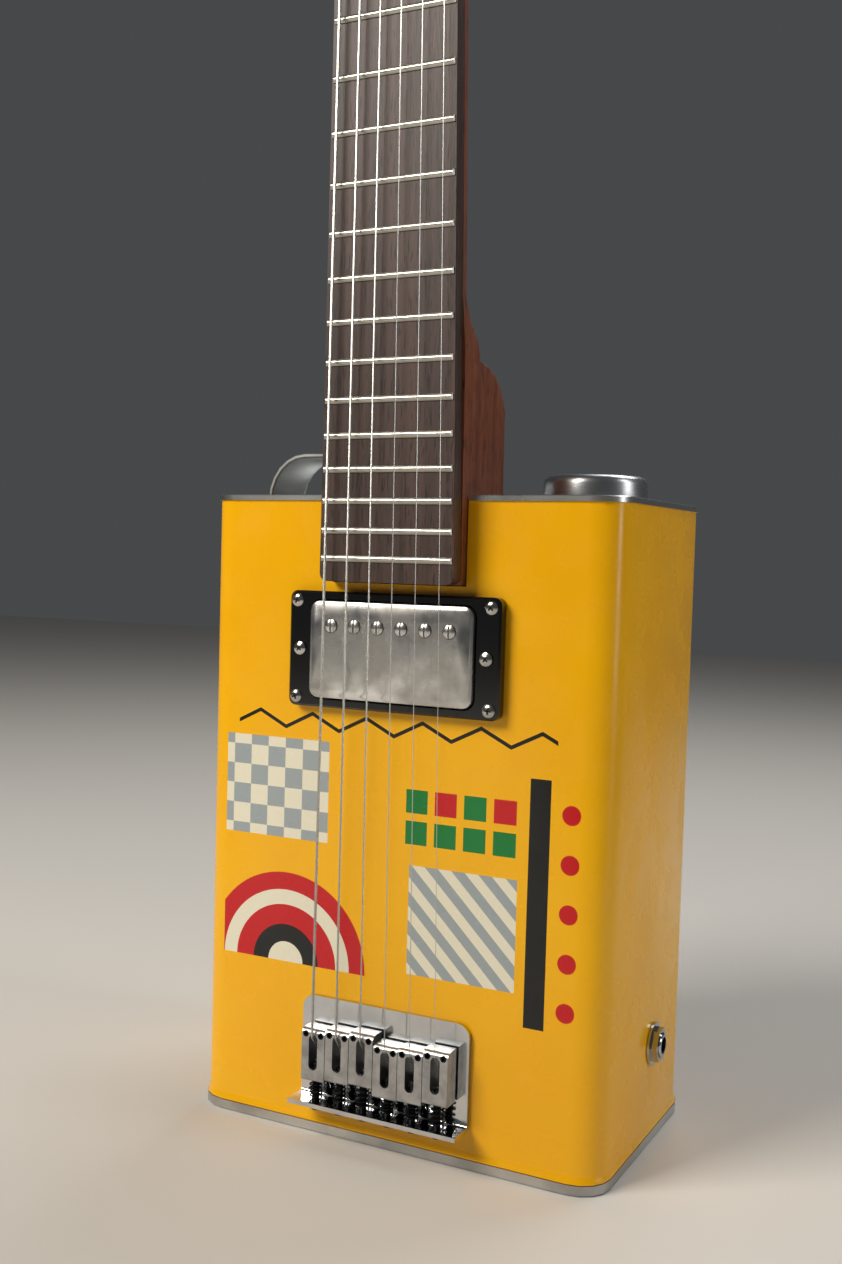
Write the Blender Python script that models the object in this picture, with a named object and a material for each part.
"""An oil can guitar: a six-string electric guitar whose body is a one-gallon oblong oil can.

The can keeps its two seamed ends, its strap handle and its screw cap. A wooden block stands inside,
behind the front panel. The bolt-on neck, the humbucking pickup and the bridge are all fastened to it.

World frame, in metres: the origin is the middle of the can's foot, on the surface it stands on.
+X points to the treble side, -Y to the front (the side with the strings) and +Z up along the strings.
"In front" below is a distance measured from the can's front face towards -Y.
"""

import math

import bmesh
import bpy
from mathutils import Matrix, Vector

# Clearances
GAP = 0.0003  # left between two pieces that touch
RUNNING_GAP = 0.0005  # round a piece that moves in an opening

# The can: outside sizes over the painted wall
CAN_WIDTH = 0.1730
CAN_DEPTH = 0.1080
CAN_HEIGHT = 0.2523
CAN_CORNER = 0.0120
CAN_CORNER_STEPS = 4
TIN = 0.0004

# Seams of the can's two ends
FOOT_SEAM_HEIGHT = 0.0038
FOOT_SEAM_OUT = 0.0010
FOOT_PANEL_RECESS = 0.0030
BEAD_OUT = 0.0009  # the swage in the wall just above the foot seam
BEAD_HEIGHT = 0.0029
TOP_SEAM_HEIGHT = 0.0022
TOP_PANEL_RECESS = 0.0037
SEAM_CHAMFER = 0.0003

# Opening in the can's back, through which the strings are threaded and the wiring is reached
HATCH_WIDTH = 0.1100
HATCH_HEIGHT = 0.1500
HATCH_Z = 0.1150
HATCH_CORNER = 0.0180
HEM_WIDTH = 0.0040
HEM_THICKNESS = 0.0014

# Strap handle on the can's top
HANDLE_X = -0.0380
HANDLE_SPAN = 0.0900
HANDLE_RISE = 0.0190
HANDLE_SHOULDER = 0.0170
HANDLE_WIDTH = 0.0280
HANDLE_THICKNESS = 0.0008
HANDLE_CURL = 0.0011
HANDLE_FOOT = 0.0180
HANDLE_BEND = 0.0025

# Screw spout and cap
SPOUT_X = 0.0580
SPOUT_RADIUS = 0.0186
SPOUT_WALL = 0.0005
SPOUT_HEIGHT = 0.0104
SPOUT_FLANGE = 0.0019
CAP_RADIUS = 0.0202
CAP_HEIGHT = 0.0108
CAP_WALL = 0.0005
CAP_ROUND = 0.0032
CAP_CURL = 0.0004
LINER_THICKNESS = 0.0016

# Strings: bass to treble, radii from a common light set
STRING_RADII = (0.000584, 0.000457, 0.000330, 0.000216, 0.000165, 0.000127)
SCALE_LENGTH = 0.6286
LAST_FRET = 22
SADDLE_PITCH = 0.01045
NUT_PITCH = 0.0070
NUT_CLEARANCE = 0.0012  # from the board's face to the bottom of a nut slot
BALL_RADIUS = 0.0019
BALL_LENGTH = 0.0034
WRAP_TURNS = 2.5
WRAP_STEPS = 10
WRAP_SPACE = 0.00045  # between neighbouring turns on a tuner post

# Neck: the frame sits on the board's face at the last fret and leans forward a little
LAST_FRET_BELOW_TOP = 0.0245
BOARD_IN_FRONT = 0.0112
NECK_LEAN = 0.021
BOARD_THICKNESS = 0.0063
BOARD_WIDTH = 0.0556  # at the last fret
BOARD_TAPER = 0.029  # width lost for each unit of length
BOARD_OVERHANG = 0.0088
BOARD_CORNER = 0.0030
FRET_WIDTH = 0.0024
FRET_CROWN = 0.00105
FRET_SINK = 0.0008
FRET_INSET = 0.0003
FRET_END_BEVEL = 0.0007
NECK_DEPTH_NUT = 0.0145
NECK_DEPTH_HEEL = 0.0165
NUT_THICKNESS = 0.0050
NUT_HEIGHT = 0.0026

# Heel: the part of the neck that passes through the can's top into the block
HEEL_IN_CAN = 0.0335
HEEL_WIDTH = 0.0558
HEEL_BACK = 0.0495  # from the board's face to the heel's back
HEEL_TOP_ABOVE_CAN = 0.0330
HEEL_SHOULDER = 0.0160
HEEL_BLEND = 0.0220

# Headstock
HEAD_ANGLE = math.radians(10)
HEAD_THICKNESS = 0.0150
HEAD_LENGTH = 0.1700
HEAD_WIDTH = 0.0780
HEAD_TOP_WIDTH = 0.0720
HEAD_FLARE = 0.0340
HEAD_CORNER = 0.0110
HEAD_ARCH = 0.0040

# Tuners, three a side
POST_FROM_NUT = 0.0420
POST_PITCH = 0.0420
POST_OUT = 0.0270
POST_RADIUS = 0.0030
POST_WAIST = 0.0026
POST_HEIGHT = 0.0170
WRAP_START = 0.0042
GEAR_RADIUS = 0.0050
GEAR_THICKNESS = 0.0040
WORM_RADIUS = 0.0020
WORM_LENGTH = 0.0080
SHAFT_RADIUS = 0.0015
STRIP_WIDTH = 0.0185
STRIP_THICKNESS = 0.0010
STRIP_END = 0.0140
HOUSING_WALL = 0.0010
HOUSING_HEIGHT = 0.0088
BUTTON_LENGTH = 0.0140
BUTTON_WIDTH = 0.0185
BUTTON_THICKNESS = 0.0085
BUTTON_STANDOFF = 0.0040

# Truss rod
ROD_WIDTH = 0.0054
ROD_DEPTH = 0.0084
ROD_NUT_LENGTH = 0.0110

# Pickup: a covered humbucker in a screwed-on ring
PICKUP_BELOW_FRET = 0.0353
COVER_WIDTH = 0.0692
COVER_HEIGHT = 0.0379
COVER_CORNER = 0.0040
COVER_ROUND = 0.0013
COVER_WALL = 0.0005
COVER_IN_FRONT = 0.0066
COVER_DEEP = 0.0150
RING_WIDTH = 0.0890
RING_HEIGHT = 0.0450
RING_CORNER = 0.0030
RING_IN_FRONT = 0.0050
RING_EDGE = 0.0008
RING_SCREW_X = 0.04075
RING_SCREW_Z = 0.01875
RING_SCREW_DEEP = 0.0130
POLE_PITCH = 0.00994
POLE_OFF_CENTRE = 0.0093
POLE_HEAD_RADIUS = 0.0026
POLE_IN_FRONT = 0.0074
POLE_SLOT = 0.0007
HEIGHT_SCREW_X = 0.03925
HEIGHT_SCREW_LENGTH = 0.0260
LEG_DEEP = 0.0072
LEG_WIDTH = 0.0110
LEG_THICKNESS = 0.0012
CAVITY_SIDE = 0.0010
CAVITY_DEEP = 0.0320

# Screws
SCREW_RADIUS = 0.0015
SCREW_HEAD = 0.0026
SCREW_HEAD_HEIGHT = 0.0011
WOOD_SCREW_RADIUS = 0.0013

# Bridge: a bent plate with six block saddles
PLATE_WIDTH = 0.0718
PLATE_THICKNESS = 0.0017
PLATE_TOP_ABOVE = 0.0120  # from the mean saddle edge to the plate's top edge
PLATE_LENGTH = 0.0406
PLATE_CORNER = 0.0050
LIP_IN_FRONT = 0.0130
LIP_BEND = 0.0010
SET_BACK = (0.0087, 0.0076, 0.0067, 0.0093, 0.0089, 0.0073)  # of each saddle edge behind the scale's end
SADDLE_WIDTH = 0.0102
SADDLE_LENGTH = 0.0205
SADDLE_TOP = 0.01075  # in front of the can
SADDLE_BOTTOM = 0.0032
SADDLE_NOSE = 0.0024
SADDLE_EDGE = 0.0004
SLOT_WIDTH = 0.0038
SLOT_FROM_NOSE = 0.0022
SLOT_FROM_REAR = 0.0043
GRUB_RADIUS = 0.00135
GRUB_SPACING = 0.0060
GRUB_SOCKET = 0.0008
STRING_HOLE_RADIUS = 0.0012
STRING_HOLE_BELOW = 0.0117  # from the mean saddle edge down to the row of string holes
INTONATION_IN_FRONT = 0.0076
INTONATION_TIP_BELOW = 0.0122
INTONATION_HEAD_HEIGHT = 0.0020
SPRING_RADIUS = 0.0024
SPRING_WIRE = 0.00035
SPRING_TURNS = 4.5
SPRING_STEPS = 8
PLATE_SCREW_BELOW = 0.0217
PLATE_SCREW_SPACING = 0.0209

# Wooden block inside the can
BLOCK_WIDTH = 0.1000
BLOCK_BACK = 0.0385  # from the front wall's inner face to the block's back
TONGUE_WIDTH = 0.0620
TONGUE_THICKNESS = 0.0130
TONGUE_BELOW_PANEL = 0.0025
TONGUE_ROOT = 0.0480
BOLT_RADIUS = 0.0023
BOLT_SPACING_X = 0.0380
BOLT_SPACING_Z = 0.0130
BOLT_REACH = 0.0200
NECK_PLATE_WIDTH = 0.0500
NECK_PLATE_HEIGHT = 0.0240
NECK_PLATE_THICKNESS = 0.0016

# Output jack in the can's treble side
JACK_Y = 0.0087
JACK_Z = 0.0392
JACK_BARREL = 0.0047
JACK_BORE = 0.0033
JACK_BORE_DEPTH = 0.0230
JACK_STAND = 0.0046
JACK_BODY_RADIUS = 0.0078
JACK_BODY_LENGTH = 0.0225
JACK_NUT_THICKNESS = 0.0026
JACK_NUT_RADIUS = 0.0070
JACK_WASHER_RADIUS = 0.0084
JACK_WASHER_THICKNESS = 0.0009
LEAD_RADIUS = 0.0014
LEAD_HOLE_RADIUS = 0.0022
LEAD_HOLE_BELOW = 0.0095
LEAD_HOLE_IN_FRONT = -0.0190

# Places worked out from the sizes above
FACE_Y = -CAN_DEPTH / 2
TOP_PANEL_Z = CAN_HEIGHT - TOP_PANEL_RECESS
LAST_FRET_Z = CAN_HEIGHT - LAST_FRET_BELOW_TOP
SCALE_END_Z = LAST_FRET_Z - SCALE_LENGTH * 2 ** (-LAST_FRET / 12)
SADDLE_EDGE_Z = [SCALE_END_Z - back for back in SET_BACK]
MEAN_EDGE_Z = sum(SADDLE_EDGE_Z) / len(SADDLE_EDGE_Z)
STRING_X = [SADDLE_PITCH * (i - 2.5) for i in range(6)]
NUT_X = [NUT_PITCH * (i - 2.5) for i in range(6)]
PICKUP_Z = LAST_FRET_Z - PICKUP_BELOW_FRET
POLE_X = [POLE_PITCH * (i - 2.5) for i in range(6)]
PLATE_FRONT = GAP + PLATE_THICKNESS
PLATE_TOP_Z = MEAN_EDGE_Z + PLATE_TOP_ABOVE
LIP_Z = PLATE_TOP_Z - PLATE_LENGTH
STRING_HOLE_Z = MEAN_EDGE_Z - STRING_HOLE_BELOW
PLATE_SCREW_Z = MEAN_EDGE_Z - PLATE_SCREW_BELOW
NUT_Z = SCALE_LENGTH * (1 - 2 ** (-LAST_FRET / 12))  # in the neck's own frame
WOOD_FRONT = BOARD_THICKNESS + GAP
HEEL_END = LAST_FRET_BELOW_TOP - HEEL_IN_CAN  # in the neck's own frame
HEEL_TOP = LAST_FRET_BELOW_TOP + HEEL_TOP_ABOVE_CAN
BLOCK_FRONT_Y = FACE_Y + TIN + GAP
BLOCK_BACK_Y = FACE_Y + TIN + BLOCK_BACK
BLOCK_TOP_Z = CAN_HEIGHT - HEEL_IN_CAN - 2 * GAP
TONGUE_BACK_Y = BLOCK_BACK_Y + TONGUE_THICKNESS
TONGUE_TOP_Z = TOP_PANEL_Z - TIN - TONGUE_BELOW_PANEL
BOLT_Z = (BLOCK_TOP_Z + TONGUE_TOP_Z) / 2
LEG_HALF = HEIGHT_SCREW_X + 0.0038
CUP_FLOOR = COVER_IN_FRONT - COVER_DEEP
WORM_OFFSET = GEAR_RADIUS + WORM_RADIUS + GAP
GEAR_BACK = HEAD_THICKNESS + GAP + STRIP_THICKNESS + HOUSING_WALL + GAP
WORM_BACK = GEAR_BACK + GEAR_THICKNESS / 2
JACK_WALL_X = CAN_WIDTH / 2


def front(distance):
    """World Y of a plane that lies this far in front of the can's face."""
    return FACE_Y - distance


NECK_FRAME = Matrix.Translation((0, front(BOARD_IN_FRONT), LAST_FRET_Z)) @ Matrix.Rotation(NECK_LEAN, 4, "X")
HEAD_FRAME = (
    NECK_FRAME
    @ Matrix.Translation((0, WOOD_FRONT, NUT_Z + NUT_THICKNESS + GAP))
    @ Matrix.Rotation(-HEAD_ANGLE, 4, "X")
)


# Outlines, as lists of pairs


def rectangle(width, height, centre=(0, 0)):
    u, v = centre
    return [(u + sx * width / 2, v + sy * height / 2) for sx, sy in ((-1, -1), (1, -1), (1, 1), (-1, 1))]


def rounded(width, height, corner, steps, centre=(0, 0)):
    """A rectangle with round corners, starting on the right side of its lower right corner."""
    points = []
    for quarter in range(4):
        sx, sy = ((1, -1), (1, 1), (-1, 1), (-1, -1))[quarter]
        middle_u = centre[0] + sx * (width / 2 - corner)
        middle_v = centre[1] + sy * (height / 2 - corner)
        start = math.radians(-90 + 90 * quarter)
        for step in range(steps + 1):
            turn = start + math.radians(90) * step / steps
            points.append((middle_u + corner * math.cos(turn), middle_v + corner * math.sin(turn)))
    return points


def circle(radius, steps, centre=(0, 0), start=0.0):
    turns = [start + 2 * math.pi * step / steps for step in range(steps)]
    return [(centre[0] + radius * math.cos(turn), centre[1] + radius * math.sin(turn)) for turn in turns]


def cross(width, height, arm_width, arm_height, centre):
    """A rectangle with an arm out of each short side."""
    a, b, c, d = width / 2, height / 2, arm_width / 2, arm_height / 2
    corners = [(a, -d), (c, -d), (c, d), (a, d), (a, b), (-a, b), (-a, d), (-c, d), (-c, -d), (-a, -d), (-a, -b), (a, -b)]
    return [(centre[0] + u, centre[1] + v) for u, v in corners]


# Solids, as closed skins in a bmesh


def on_axis(axis, u, v, w):
    """The point that lies w along the axis, and u and v along the other two, taken in X, Y, Z order."""
    return Vector({"X": (w, u, v), "Y": (u, w, v), "Z": (u, v, w)}[axis])


def skin(bm, rings, closed=False):
    """Faces between rings of points. A ring of one point makes a tip, and open ends get flat caps."""
    loops = [[bm.verts.new(point) for point in ring] for ring in rings]
    pairs = list(zip(loops, loops[1:]))
    if closed:
        pairs.append((loops[-1], loops[0]))
    for low, high in pairs:
        count = max(len(low), len(high))
        for i in range(count):
            j = (i + 1) % count
            if len(low) == 1:
                corners = (low[0], high[j], high[i])
            elif len(high) == 1:
                corners = (low[i], low[j], high[0])
            else:
                corners = (low[i], low[j], high[j], high[i])
            bm.faces.new(corners)
    for end in () if closed else (loops[0], loops[-1]):
        if len(end) > 1:
            bm.faces.new(end)


def prism(bm, outline, axis, low, high):
    skin(bm, [[on_axis(axis, u, v, w) for u, v in outline] for w in (low, high)])


def box(bm, low, high):
    middle = ((low[0] + high[0]) / 2, (low[1] + high[1]) / 2)
    prism(bm, rectangle(high[0] - low[0], high[1] - low[1], middle), "Z", low[2], high[2])


def turned(bm, profile, axis, centre, steps, hollow=False, start=0.0):
    """A profile of (radius, place along the axis) turned round the axis. Radius 0 makes a tip."""
    rings = []
    for radius, place in profile:
        outline = circle(radius, steps, centre, start) if radius > 0 else [centre]
        rings.append([on_axis(axis, u, v, place) for u, v in outline])
    skin(bm, rings, closed=hollow)


def rod(bm, radius, axis, centre, low, high, steps):
    turned(bm, [(radius, low), (radius, high)], axis, centre, steps)


def framed(bm, size, profile, axis, centre, steps, hollow=False):
    """A profile of (outward offset, place along the axis) carried round a rectangle with round corners."""
    width, height, corner = size
    rings = []
    for offset, place in profile:
        outline = rounded(width + 2 * offset, height + 2 * offset, corner + offset, steps, centre)
        rings.append([on_axis(axis, u, v, place) for u, v in outline])
    skin(bm, rings, closed=hollow)


# Objects


def look(name, colour, roughness, metallic):
    """A plain material. The colour is given in sRGB hex."""
    channels = [int(colour[i : i + 2], 16) / 255 for i in (0, 2, 4)]
    linear = [c / 12.92 if c <= 0.04045 else ((c + 0.055) / 1.055) ** 2.4 for c in channels]
    material = bpy.data.materials.new(name)
    material.use_nodes = True
    shader = material.node_tree.nodes["Principled BSDF"]
    shader.inputs["Base Color"].default_value = (*linear, 1)
    shader.inputs["Roughness"].default_value = roughness
    shader.inputs["Metallic"].default_value = metallic
    return material


def frame_empty(name, matrix):
    empty = bpy.data.objects.new(name, None)
    empty.matrix_world = matrix
    bpy.context.collection.objects.link(empty)
    return empty


def add(name, bm, material, frame=None, at=(0, 0, 0)):
    """Puts the bmesh in the scene as an object, smooth but for its sharp edges."""
    bmesh.ops.recalc_face_normals(bm, faces=bm.faces)
    mesh = bpy.data.meshes.new(name)
    bm.to_mesh(mesh)
    bm.free()
    mesh.shade_smooth()
    mesh.set_sharp_from_angle(angle=math.radians(32))
    if material:
        mesh.materials.append(material)
    obj = bpy.data.objects.new(name, mesh)
    bpy.context.collection.objects.link(obj)
    obj.parent = frame
    obj.location = at
    return obj


def shape_with(target, name, bm, operation):
    """Joins the bmesh to the target, or cuts it away. It is given in the target's own coordinates."""
    tool = add(f"{target.name}_{name}", bm, None, target.parent, target.location)
    tool.hide_render = True
    tool.display_type = "WIRE"
    modifier = target.modifiers.new(name, "BOOLEAN")
    modifier.operation = operation
    modifier.solver = "EXACT"
    modifier.object = tool


def cut(target, name, bm):
    shape_with(target, name, bm, "DIFFERENCE")


def fuse(target, name, bm):
    shape_with(target, name, bm, "UNION")


def wire(name, points, radius, material, bevel_resolution, radii=None, frame=None, at=(0, 0, 0)):
    """A round wire along the points, with closed ends."""
    curve = bpy.data.curves.new(name, "CURVE")
    curve.dimensions = "3D"
    curve.bevel_depth = radius
    curve.bevel_resolution = bevel_resolution
    curve.use_fill_caps = True
    spline = curve.splines.new("POLY")
    spline.points.add(len(points) - 1)
    for i, point in enumerate(points):
        spline.points[i].co = (*point, 1)
        spline.points[i].radius = radii[i] if radii else 1
    curve.materials.append(material)
    obj = bpy.data.objects.new(name, curve)
    bpy.context.collection.objects.link(obj)
    obj.parent = frame
    obj.location = at
    return obj


def self_gap(points, radius, turn_steps):
    """The least space between one turn of a coil and the next."""
    least = math.inf
    for i, first in enumerate(points):
        for second in points[i + turn_steps // 2 + 1 :]:
            least = min(least, (Vector(first) - Vector(second)).length - 2 * radius)
    return least


# The can


def can_outline(offset, z):
    outline = rounded(CAN_WIDTH + 2 * offset, CAN_DEPTH + 2 * offset, CAN_CORNER + offset, CAN_CORNER_STEPS)
    return [Vector((x, y, z)) for x, y in outline]


def hatch_opening(offset, y_low, y_high):
    bm = bmesh.new()
    size = (HATCH_WIDTH, HATCH_HEIGHT, HATCH_CORNER)
    framed(bm, size, [(offset, y_low), (offset, y_high)], "Y", (0, HATCH_Z), CAN_CORNER_STEPS)
    return bm


def make_can_body(material):
    """The wrapper sheet: four walls in one, open above and below, swaged out just over the foot seam."""
    bead_z = FOOT_SEAM_HEIGHT + GAP
    bead_top = bead_z + BEAD_HEIGHT
    leg_out = FOOT_SEAM_OUT - TIN - GAP
    wall_top = CAN_HEIGHT - TIN - GAP
    profile = [
        (0, wall_top),
        (0, bead_top),
        (BEAD_OUT * 0.45, bead_z + BEAD_HEIGHT * 0.5),
        (BEAD_OUT, bead_z + BEAD_HEIGHT * 0.2),
        (BEAD_OUT, bead_z),
        (leg_out, bead_z),
        (leg_out, TIN + 2 * GAP),
        (leg_out - TIN, TIN + 2 * GAP),
        (leg_out - TIN, bead_z + BEAD_HEIGHT * 0.25),
        (-TIN, bead_top - TIN),
        (-TIN, wall_top),
    ]
    bm = bmesh.new()
    skin(bm, [can_outline(offset, z) for offset, z in profile], closed=True)
    body = add("can_body", bm, material)

    bm = bmesh.new()
    back = CAN_DEPTH / 2
    inside = back - TIN - HEM_THICKNESS
    hem = [(HEM_WIDTH, back - TIN / 2), (HEM_WIDTH, inside), (-TIN, inside), (-TIN, back - TIN / 2)]
    framed(bm, (HATCH_WIDTH, HATCH_HEIGHT, HATCH_CORNER), hem, "Y", (0, HATCH_Z), CAN_CORNER_STEPS, hollow=True)
    cut(body, "hatch", hatch_opening(0, inside - HEM_THICKNESS, back + HEM_THICKNESS))
    fuse(body, "hem", bm)

    bm = bmesh.new()
    notch = HEEL_WIDTH / 2 + GAP
    box(bm, (-notch, front(CAN_CORNER), BLOCK_TOP_Z + GAP), (notch, front(-CAN_CORNER), CAN_HEIGHT + CAN_CORNER))
    prism(bm, pickup_cavity_outline(), "Y", front(TIN), front(-2 * TIN))
    for x, z in ring_screw_places() + plate_screw_places():
        rod(bm, WOOD_SCREW_RADIUS + GAP, "Y", (x, z), front(TIN), front(-2 * TIN), 8)
    for x in STRING_X:
        rod(bm, STRING_HOLE_RADIUS, "Y", (x, STRING_HOLE_Z), front(TIN), front(-2 * TIN), 8)
    rod(bm, JACK_BARREL + GAP, "X", (JACK_Y, JACK_Z), JACK_WALL_X - CAN_CORNER, JACK_WALL_X + CAN_CORNER, 20)
    cut(body, "openings", bm)


def make_can_top(material):
    """The top end: a sunk panel whose edge is folded over the wall, cut away where the neck passes."""
    rim, top, under = TIN + GAP, CAN_HEIGHT, CAN_HEIGHT - TIN
    inner = -2 * TIN - GAP
    panel = TOP_PANEL_Z
    profile = [
        (inner - GAP, panel),
        (inner - GAP, panel + GAP),
        (inner - GAP, top - SEAM_CHAMFER),
        (inner - GAP + SEAM_CHAMFER, top),
        (rim - SEAM_CHAMFER, top),
        (rim, top - SEAM_CHAMFER),
        (rim, top - TOP_SEAM_HEIGHT),
        (GAP, top - TOP_SEAM_HEIGHT),
        (GAP, under),
        (-rim, under),
        (-rim, panel - TIN),
    ]
    bm = bmesh.new()
    skin(bm, [can_outline(offset, z) for offset, z in profile])
    end = add("can_top", bm, material)

    bm = bmesh.new()
    notch = HEEL_WIDTH / 2 + GAP
    heel_back = front(BOARD_IN_FRONT) + HEEL_BACK + 2 * GAP
    box(bm, (-notch, front(CAN_CORNER), panel - CAN_CORNER), (notch, heel_back, top + CAN_CORNER))
    rod(bm, SPOUT_RADIUS - SPOUT_WALL, "Z", (SPOUT_X, 0), panel - CAN_CORNER, panel + CAN_CORNER, 24)
    cut(end, "openings", bm)


def make_can_bottom(material):
    """The foot end: a sunk panel with a deep folded seam, on which the whole guitar stands."""
    out, panel = FOOT_SEAM_OUT, FOOT_PANEL_RECESS
    leg_out = out - TIN
    leg_in = leg_out - TIN - 2 * GAP
    profile = [
        (leg_in - TIN, panel),
        (leg_in - TIN, SEAM_CHAMFER),
        (leg_in - TIN + SEAM_CHAMFER, 0),
        (out - SEAM_CHAMFER, 0),
        (out, SEAM_CHAMFER),
        (out, FOOT_SEAM_HEIGHT),
        (leg_out, FOOT_SEAM_HEIGHT),
        (leg_out, TIN + GAP),
        (leg_in, TIN + GAP),
        (leg_in, panel + TIN),
    ]
    bm = bmesh.new()
    skin(bm, [can_outline(offset, z) for offset, z in profile])
    add("can_bottom", bm, material)


def handle_path():
    """(x, z, how much the edges curl) along the strap, from one foot's end to the other's."""
    half = HANDLE_SPAN / 2
    foot_z = TOP_PANEL_Z + GAP + HANDLE_THICKNESS / 2
    side = [(half - HANDLE_FOOT, foot_z, 0), (half - HANDLE_BEND, foot_z, 0)]
    for step in (1, 2, 3):
        turn = math.radians(30 * step)
        x = half - HANDLE_BEND * (1 - math.sin(turn))
        side.append((x, foot_z + HANDLE_BEND * (1 - math.cos(turn)), step / 3))
    for step in range(1, 7):
        turn = math.radians(15 * step)
        x = half - HANDLE_SHOULDER * (1 - math.cos(turn))
        side.append((x, foot_z + HANDLE_BEND + HANDLE_RISE * math.sin(turn), 1))
    right = [(HANDLE_X + x, z, curl) for x, z, curl in side]
    left = [(HANDLE_X - x, z, curl) for x, z, curl in reversed(side)]
    return right + left


def make_handle(material):
    """A tin strap with curled edges, its two flat feet turned inwards on the panel."""
    path = handle_path()
    rings = []
    for i, (x, z, curl) in enumerate(path):
        before, after = path[max(i - 1, 0)], path[min(i + 1, len(path) - 1)]
        along = Vector((after[0] - before[0], 0, after[1] - before[1])).normalized()
        out = Vector((along.z, 0, -along.x))
        half = HANDLE_THICKNESS / 2
        radius = half + (HANDLE_CURL - half) * curl
        middle = HANDLE_WIDTH / 2 - HANDLE_CURL
        edge = [(middle - HANDLE_CURL, half)]
        edge += [(middle + radius * math.sin(turn), radius * math.cos(turn)) for turn in (0.3, 1.1, 2.0, 2.8)]
        edge += [(middle - HANDLE_CURL, -half)]
        section = edge + [(-y, depth) for y, depth in reversed(edge)]
        rings.append([Vector((x, 0, z)) + out * depth + Vector((0, y, 0)) for y, depth in section])
    bm = bmesh.new()
    skin(bm, rings)
    add("can_handle", bm, material)


def make_spout(material):
    """The screw neck crimped to the top panel."""
    foot = TOP_PANEL_Z + GAP
    top = foot + SPOUT_HEIGHT
    inner = SPOUT_RADIUS - SPOUT_WALL
    profile = [
        (SPOUT_RADIUS + SPOUT_FLANGE, foot),
        (SPOUT_RADIUS + SPOUT_FLANGE, foot + SPOUT_WALL),
        (SPOUT_RADIUS, foot + SPOUT_WALL),
        (SPOUT_RADIUS, top - SPOUT_WALL),
        (SPOUT_RADIUS - SPOUT_WALL / 2, top),
        (inner, top),
        (inner, foot),
    ]
    bm = bmesh.new()
    turned(bm, profile, "Z", (SPOUT_X, 0), 24, hollow=True)
    add("spout", bm, material)


def make_cap(shell_look, liner_look):
    """A pressed screw cap with a rolled lower edge, and the sealing disc inside it."""
    seat = TOP_PANEL_Z + GAP + SPOUT_HEIGHT + GAP
    ceiling = LINER_THICKNESS + GAP
    top = ceiling + CAP_WALL
    inner = CAP_RADIUS - CAP_WALL
    bend = [math.radians(30 * step) for step in range(4)]
    outside = [
        (CAP_RADIUS - CAP_ROUND * (1 - math.cos(turn)), top - CAP_ROUND * (1 - math.sin(turn))) for turn in bend
    ]
    inside = [(radius - CAP_WALL * math.cos(turn), z - CAP_WALL * math.sin(turn)) for (radius, z), turn in zip(outside, bend)]
    low = top - CAP_HEIGHT
    skirt = [(inner, low), (CAP_RADIUS + CAP_CURL, low), (CAP_RADIUS + CAP_CURL, low + 2 * CAP_CURL), (CAP_RADIUS, low + 3 * CAP_CURL)]
    profile = [(0, ceiling)] + inside[::-1] + skirt + outside + [(0, top)]
    bm = bmesh.new()
    turned(bm, profile, "Z", (0, 0), 28)
    add("cap_shell", bm, shell_look, at=(SPOUT_X, 0, seat))
    bm = bmesh.new()
    rod(bm, inside[-2][0] - GAP, "Z", (0, 0), 0, LINER_THICKNESS, 28)
    add("cap_liner", bm, liner_look, at=(SPOUT_X, 0, seat))


# The wooden block and what bolts the neck to it


def pickup_cavity_outline():
    width = COVER_WIDTH + 2 * CAVITY_SIDE
    height = COVER_HEIGHT + 2 * CAVITY_SIDE
    return cross(width, height, 2 * LEG_HALF + 2 * CAVITY_SIDE, LEG_WIDTH + 2 * CAVITY_SIDE, (0, PICKUP_Z))


def ring_screw_places():
    return [(sx * RING_SCREW_X, PICKUP_Z + sz * RING_SCREW_Z) for sx in (-1, 1) for sz in (-1, 1)]


def plate_screw_places():
    return [(side * PLATE_SCREW_SPACING, PLATE_SCREW_Z) for side in (-1, 0, 1)]


def bolt_places():
    return [(sx * BOLT_SPACING_X / 2, BOLT_Z + sz * BOLT_SPACING_Z / 2) for sx in (-1, 1) for sz in (-1, 1)]


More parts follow.
